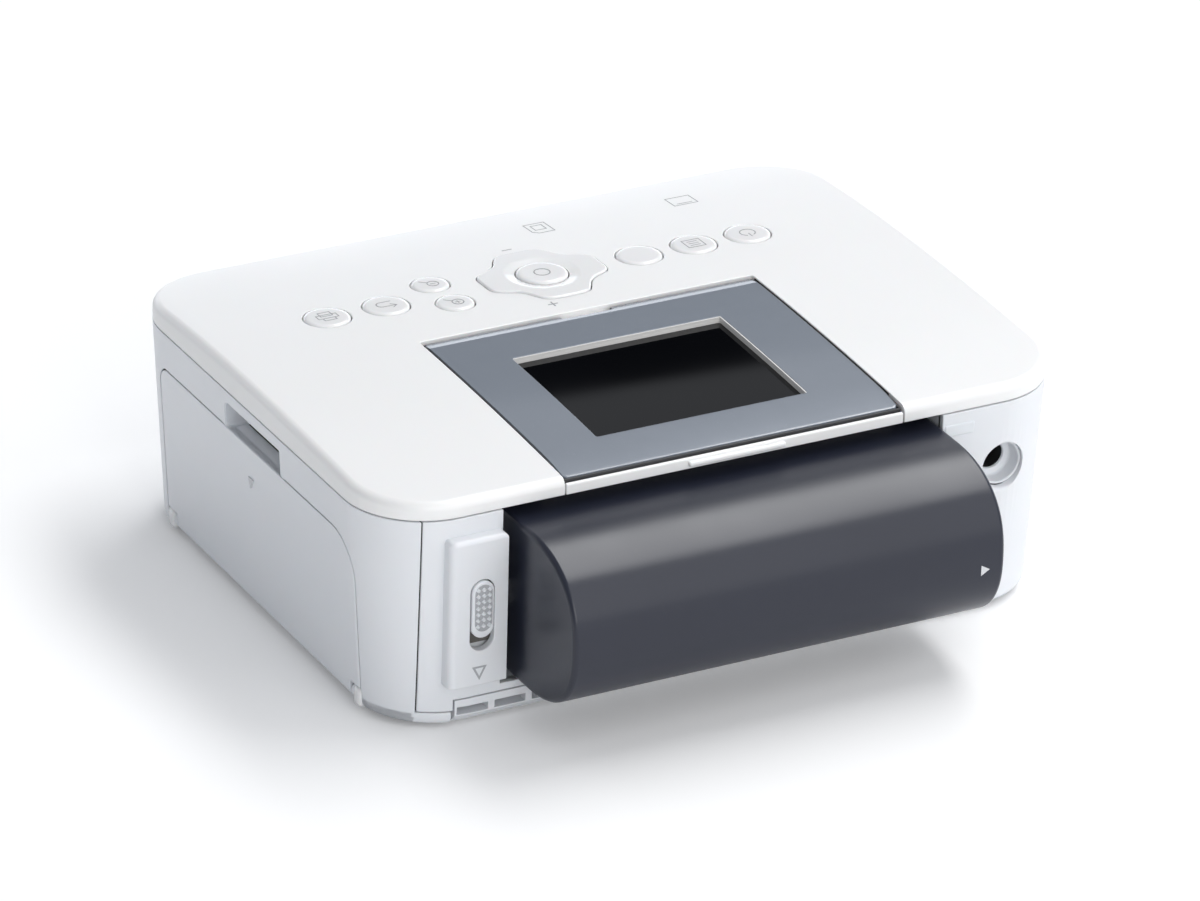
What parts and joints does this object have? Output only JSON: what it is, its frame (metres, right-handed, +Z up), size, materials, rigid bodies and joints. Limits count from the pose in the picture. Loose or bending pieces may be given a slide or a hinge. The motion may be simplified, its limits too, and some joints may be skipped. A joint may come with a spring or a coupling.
{
  "type": "compact photo printer",
  "caption": "Compact photo printer with a crowned top, lift-up display, round keys, side ink door, front paper door and a long rounded battery pack clipped to the rear.",
  "frame": {"origin": "middle of the footprint, battery pack included, on the surface that the feet stand on", "axes": "+X to the right of a person who faces the front, +Y to the rear where the battery pack is, +Z up"},
  "size_m": [0.178, 0.1656, 0.0603],
  "materials": {
    "white_shell": "satin gloss",
    "white_key": "satin",
    "dark_bezel": "gloss, faint metallic",
    "display": "gloss",
    "rubber": "matt",
    "bright_steel": "turned",
    "sheet_steel": "zinc plated",
    "flex_film": "satin",
    "inner_plastic": "matt",
    "circuit_board": "satin",
    "dark_plastic": "matt",
    "head_aluminium": "extruded",
    "cassette_plastic": "matt",
    "ribbon_film": "gloss film",
    "brass_gear": "turned",
    "gear_plastic": "satin",
    "battery_plastic": "fine matt grain"
  },
  "bodies": {
    "case": {"top_cover": "white_shell", "right_cover": "white_shell", "left_cover": "white_shell", "front_cover": "white_shell", "rear_cover": "white_shell", "base_pan": "white_shell", "rubber_feet": "rubber", "case_screws": "bright_steel", "screen_hinge_pin": "bright_steel", "screen_flex": "flex_film", "button_board": "circuit_board", "ink_door_pins": "bright_steel", "paper_door_pins": "bright_steel", "chassis": "sheet_steel", "shaft_bushes": "dark_plastic", "paper_guides": "inner_plastic", "cassette_shell": "cassette_plastic", "ink_ribbon": "ribbon_film", "drive_motor": "sheet_steel", "main_board": "circuit_board", "card_socket_wide": "dark_plastic", "card_socket_narrow": "sheet_steel", "usb_board": "circuit_board", "dc_jack": "dark_plastic", "power_board": "circuit_board", "battery_contacts": "dark_plastic", "battery_pack": "battery_plastic"},
    "screen_unit": {"screen_housing": "white_shell", "screen_glass": "dark_bezel", "lcd_panel": "display"},
    "print_button": {"print_button": "white_key"},
    "back_button": {"back_button": "white_key"},
    "edit_button": {"edit_button": "white_key"},
    "menu_button": {"menu_button": "white_key"},
    "power_button": {"power_button": "white_key"},
    "zoom_out_button": {"zoom_out_button": "white_key"},
    "zoom_in_button": {"zoom_in_button": "white_key"},
    "ok_button": {"ok_button": "white_key"},
    "pad_rocker_ring": {"pad_rocker_ring": "inner_plastic"},
    "direction_pad": {"direction_pad": "white_key"},
    "ink_door": {"ink_door": "white_shell"},
    "paper_door": {"paper_door": "white_shell"},
    "battery_release": {"battery_release": "white_shell", "latch_hook": "bright_steel"},
    "print_head": {"print_head": "dark_plastic", "head_carrier": "head_aluminium"},
    "feed_roller": {"feed_roller": "bright_steel", "feed_gear": "gear_plastic"},
    "platen_roller": {"platen_roller": "rubber"},
    "pinch_roller": {"pinch_roller": "rubber"},
    "pickup_roller": {"pickup_roller": "rubber"},
    "supply_spool": {"supply_spool": "ribbon_film"},
    "take_up_spool": {"take_up_spool": "ribbon_film", "take_up_gear": "gear_plastic"},
    "idler_gear": {"idler_gear": "gear_plastic"},
    "motor_pinion": {"motor_pinion": "brass_gear"}
  },
  "joints": [
    {"name": "screen_tilt", "type": "hinge", "parent": "case", "child": "screen_unit", "pos_m": [0, -0.01795, 0.05765], "axis": [1, 0, 0], "range_deg": [0, 45]},
    {"name": "print_press", "type": "slide", "parent": "case", "child": "print_button", "axis": [0, 0, -1], "range_m": [0, 0.0005], "stiffness_N_per_m": 600, "springref_m": -0.0005},
    {"name": "back_press", "type": "slide", "parent": "case", "child": "back_button", "axis": [0, 0, -1], "range_m": [0, 0.0005], "stiffness_N_per_m": 600, "springref_m": -0.0005},
    {"name": "edit_press", "type": "slide", "parent": "case", "child": "edit_button", "axis": [0, 0, -1], "range_m": [0, 0.0005], "stiffness_N_per_m": 600, "springref_m": -0.0005},
    {"name": "menu_press", "type": "slide", "parent": "case", "child": "menu_button", "axis": [0, 0, -1], "range_m": [0, 0.0005], "stiffness_N_per_m": 600, "springref_m": -0.0005},
    {"name": "power_press", "type": "slide", "parent": "case", "child": "power_button", "axis": [0, 0, -1], "range_m": [0, 0.0005], "stiffness_N_per_m": 600, "springref_m": -0.0005},
    {"name": "zoom_out_press", "type": "slide", "parent": "case", "child": "zoom_out_button", "axis": [0, 0, -1], "range_m": [0, 0.0005], "stiffness_N_per_m": 600, "springref_m": -0.0005},
    {"name": "zoom_in_press", "type": "slide", "parent": "case", "child": "zoom_in_button", "axis": [0, 0, -1], "range_m": [0, 0.0005], "stiffness_N_per_m": 600, "springref_m": -0.0005},
    {"name": "ok_press", "type": "slide", "parent": "case", "child": "ok_button", "axis": [0, 0, -1], "range_m": [0, 0.0005], "stiffness_N_per_m": 600, "springref_m": -0.0005},
    {"name": "pad_tip_fore_aft", "type": "hinge", "parent": "case", "child": "pad_rocker_ring", "pos_m": [0.0006, -0.04205, 0.0573], "axis": [1, 0, 0], "range_deg": [-1.5, 1.5], "stiffness_Nm_per_rad": 0.4},
    {"name": "pad_tip_sideways", "type": "hinge", "parent": "pad_rocker_ring", "child": "direction_pad", "pos_m": [0.0006, -0.04205, 0.0573], "axis": [0, 1, 0], "range_deg": [-1.5, 1.5], "stiffness_Nm_per_rad": 0.4},
    {"name": "ink_door_hinge", "type": "hinge", "parent": "case", "child": "ink_door", "pos_m": [0.084, -0.01525, 0.0039], "axis": [0, 1, 0], "range_deg": [0, 90]},
    {"name": "paper_door_hinge", "type": "hinge", "parent": "case", "child": "paper_door", "pos_m": [0.002, -0.08079, 0.0039], "axis": [1, 0, 0], "range_deg": [0, 90]},
    {"name": "battery_release_slide", "type": "slide", "parent": "case", "child": "battery_release", "axis": [0, 0, -1], "range_m": [0, 0.003], "stiffness_N_per_m": 250, "springref_m": -0.002},
    {"name": "head_lift", "type": "slide", "parent": "case", "child": "print_head", "axis": [0, 0, 1], "range_m": [0, 0.0016]},
    {"name": "feed_spin", "type": "hinge", "parent": "case", "child": "feed_roller", "pos_m": [0, 0.01775, 0.0418], "axis": [1, 0, 0], "continuous": true},
    {"name": "platen_spin", "type": "hinge", "parent": "case", "child": "platen_roller", "pos_m": [0, -0.02325, 0.04425], "axis": [1, 0, 0], "continuous": true},
    {"name": "pinch_spin", "type": "hinge", "parent": "case", "child": "pinch_roller", "pos_m": [0, 0.01775, 0.048], "axis": [1, 0, 0], "continuous": true},
    {"name": "pickup_spin", "type": "hinge", "parent": "case", "child": "pickup_roller", "pos_m": [0, -0.06125, 0.03836], "axis": [1, 0, 0], "continuous": true},
    {"name": "supply_spin", "type": "hinge", "parent": "case", "child": "supply_spool", "pos_m": [0, -0.04525, 0.022], "axis": [1, 0, 0], "continuous": true},
    {"name": "take_up_spin", "type": "hinge", "parent": "case", "child": "take_up_spool", "pos_m": [0, -0.00125, 0.022], "axis": [1, 0, 0], "continuous": true},
    {"name": "idler_spin", "type": "hinge", "parent": "case", "child": "idler_gear", "pos_m": [0, 0.01634, 0.02266], "axis": [1, 0, 0], "continuous": true},
    {"name": "motor_spin", "type": "hinge", "parent": "case", "child": "motor_pinion", "pos_m": [0, 0.02939, 0.01657], "axis": [1, 0, 0], "continuous": true}
  ],
  "couplings": [
    {"joint": "platen_spin", "follows": "feed_spin", "ratio": -0.7},
    {"joint": "pinch_spin", "follows": "feed_spin", "ratio": -1.4583},
    {"joint": "pickup_spin", "follows": "feed_spin", "ratio": -0.7},
    {"joint": "idler_spin", "follows": "feed_spin", "ratio": -1},
    {"joint": "take_up_spin", "follows": "feed_spin", "ratio": 1.2},
    {"joint": "motor_spin", "follows": "feed_spin", "ratio": 2},
    {"joint": "supply_spin", "follows": "feed_spin", "ratio": 0.91765}
  ]
}
